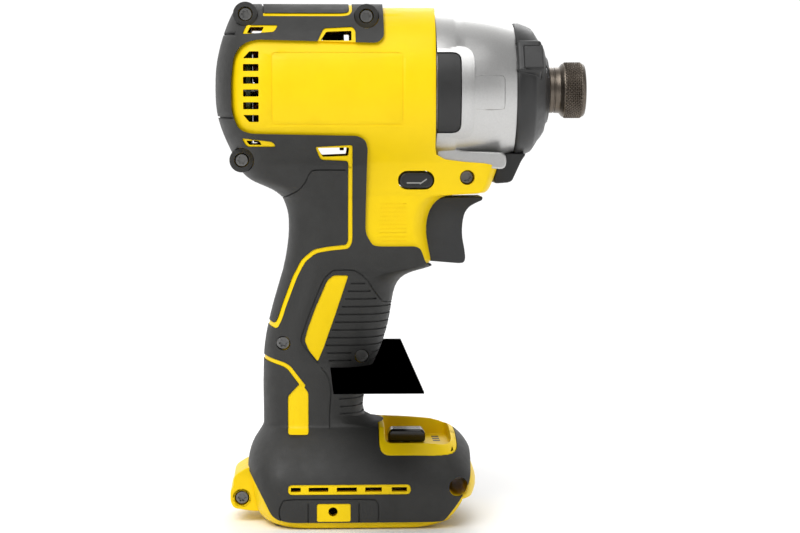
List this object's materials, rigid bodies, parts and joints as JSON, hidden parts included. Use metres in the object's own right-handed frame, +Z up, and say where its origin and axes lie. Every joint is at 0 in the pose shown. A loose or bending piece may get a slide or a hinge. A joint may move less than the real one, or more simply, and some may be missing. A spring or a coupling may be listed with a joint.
{
  "type": "cordless impact driver",
  "caption": "Bare cordless impact driver: clamshell body with rubber grip, cast gear case, planetary drive, sprung hammer and anvil, hex bit collar, trigger and mode slider.",
  "frame": {"origin": "centre of the bounding box in plan, on the plane of the base that the tool stands on", "axes": "+X forward along the spindle, +Z up, +Y to the tool's left"},
  "size_m": [0.135, 0.066, 0.1879],
  "materials": {
    "yellow_shell": "fine satin moulded nylon",
    "black_rubber": "matte overmoulded rubber",
    "cast_case": "bead blasted casting",
    "black_nose": "matte moulded plastic",
    "clear_lens": "clear moulded lens",
    "board_green": "circuit board",
    "bronze_bush": "sintered bronze",
    "nylon": "natural nylon",
    "bright_steel": "ground steel",
    "spring_steel": "drawn spring wire",
    "dark_steel": "oiled hardened steel",
    "collar_steel": "knurled gunmetal",
    "lamination": "stacked electrical steel",
    "copper_wire": "enamelled copper",
    "magnet": "plated magnet",
    "grey_plastic": "moulded plastic",
    "fan_plastic": "moulded plastic",
    "potting": "potted electronics",
    "contact_metal": "plated contact",
    "insert_brass": "turned brass",
    "black_screw": "black oxide",
    "red_lead": "wire insulation",
    "black_lead": "wire insulation",
    "trigger_plastic": "satin moulded plastic"
  },
  "bodies": {
    "housing": {"housing_right": "yellow_shell", "housing_left": "yellow_shell", "grip_right": "black_rubber", "grip_left": "black_rubber", "bumper_right": "black_rubber", "bumper_left": "black_rubber", "gear_case": "cast_case", "case_pads": "black_rubber", "nose_bumper": "black_nose", "led_lenses": "clear_lens", "led_board": "board_green", "nose_bushing": "bronze_bush", "anvil_washer": "nylon", "ring_gear": "bright_steel", "gearbox_plate": "grey_plastic", "carrier_bearing": "bright_steel", "front_motor_bearing": "bright_steel", "rear_motor_bearing": "bright_steel", "stator_core": "lamination", "stator_windings": "copper_wire", "sensor_board": "board_green", "trigger_switch": "grey_plastic", "control_module": "potting", "terminal_block": "grey_plastic", "terminal_blades": "contact_metal", "mode_panel": "yellow_shell", "mode_board": "board_green", "belt_hook_inserts": "insert_brass", "housing_screws": "black_screw", "motor_leads": "red_lead", "switch_leads": "black_lead", "trigger_spring": "spring_steel"},
    "rotor": {"motor_shaft": "bright_steel", "rotor_core": "lamination", "rotor_magnets": "magnet", "cooling_fan": "fan_plastic"},
    "carrier": {"cam_shaft": "bright_steel", "planet_pins": "bright_steel", "hammer_spring": "spring_steel"},
    "planet_1": {"planet_gear_1": "bright_steel"},
    "planet_2": {"planet_gear_2": "bright_steel"},
    "planet_3": {"planet_gear_3": "bright_steel"},
    "hammer_thrust": {"thrust_washer": "bright_steel", "thrust_balls": "bright_steel"},
    "hammer_block": {"hammer": "dark_steel", "cam_balls": "bright_steel"},
    "anvil_shaft": {"anvil": "dark_steel", "detent_balls": "bright_steel", "collar_stop": "bright_steel", "collar_spring": "spring_steel"},
    "collar": {"bit_collar": "collar_steel"},
    "trigger_assembly": {"trigger": "trigger_plastic", "trigger_plunger": "spring_steel"},
    "reverse_shuttle": {"reverse_button": "trigger_plastic"},
    "reverse_arm": {"reverse_lever": "grey_plastic"},
    "mode_selector": {"mode_slider": "trigger_plastic"}
  },
  "joints": [
    {"name": "carrier_spin", "type": "hinge", "parent": "housing", "child": "carrier", "pos_m": [0, 0, 0.1565], "axis": [1, 0, 0], "continuous": true},
    {"name": "rotor_spin", "type": "hinge", "parent": "housing", "child": "rotor", "pos_m": [0, 0, 0.1565], "axis": [1, 0, 0], "continuous": true},
    {"name": "planet_1_spin", "type": "hinge", "parent": "carrier", "child": "planet_1", "pos_m": [-0.0056, 0, 0.14638], "axis": [1, 0, 0], "continuous": true},
    {"name": "planet_2_spin", "type": "hinge", "parent": "carrier", "child": "planet_2", "pos_m": [-0.0056, 0.00877, 0.16156], "axis": [1, 0, 0], "continuous": true},
    {"name": "planet_3_spin", "type": "hinge", "parent": "carrier", "child": "planet_3", "pos_m": [-0.0056, -0.00877, 0.16156], "axis": [1, 0, 0], "continuous": true},
    {"name": "anvil_spin", "type": "hinge", "parent": "housing", "child": "anvil_shaft", "pos_m": [0, 0, 0.1565], "axis": [1, 0, 0], "continuous": true},
    {"name": "hammer_slide", "type": "slide", "parent": "carrier", "child": "hammer_thrust", "axis": [1, 0, 0], "range_m": [-0.0065, 0], "stiffness_N_per_m": 9000, "springref_m": 0.004, "deforming": ["hammer_spring"]},
    {"name": "hammer_turn", "type": "hinge", "parent": "hammer_thrust", "child": "hammer_block", "pos_m": [0, 0, 0.1565], "axis": [1, 0, 0], "range_deg": [-37, 1]},
    {"name": "collar_slide", "type": "slide", "parent": "anvil_shaft", "child": "collar", "axis": [1, 0, 0], "range_m": [0, 0.004], "stiffness_N_per_m": 1500, "springref_m": -0.002, "deforming": ["collar_spring"]},
    {"name": "trigger_pull", "type": "slide", "parent": "housing", "child": "trigger_assembly", "axis": [-1, 0, 0], "range_m": [0, 0.0065], "stiffness_N_per_m": 900, "springref_m": -0.002, "deforming": ["trigger_spring"]},
    {"name": "reverse_shift", "type": "slide", "parent": "housing", "child": "reverse_shuttle", "axis": [0, 1, 0], "range_m": [-0.0035, 0.0035]},
    {"name": "reverse_lever_turn", "type": "hinge", "parent": "housing", "child": "reverse_arm", "pos_m": [-0.01148, 0, 0.117], "axis": [0, 0, 1], "range_deg": [-13, 13]},
    {"name": "mode_slide", "type": "slide", "parent": "housing", "child": "mode_selector", "axis": [0, 1, 0], "range_m": [0, 0.014]}
  ],
  "couplings": [
    {"joint": "rotor_spin", "follows": "carrier_spin", "ratio": 6},
    {"joint": "planet_1_spin", "follows": "carrier_spin", "ratio": -2.5},
    {"joint": "planet_2_spin", "follows": "carrier_spin", "ratio": -2.5},
    {"joint": "planet_3_spin", "follows": "carrier_spin", "ratio": -2.5},
    {"joint": "anvil_spin", "follows": "carrier_spin", "ratio": 1},
    {"joint": "hammer_turn", "follows": "hammer_slide", "rad_per_m": 96.664},
    {"joint": "reverse_lever_turn", "follows": "reverse_shift", "rad_per_m": 61.183}
  ]
}
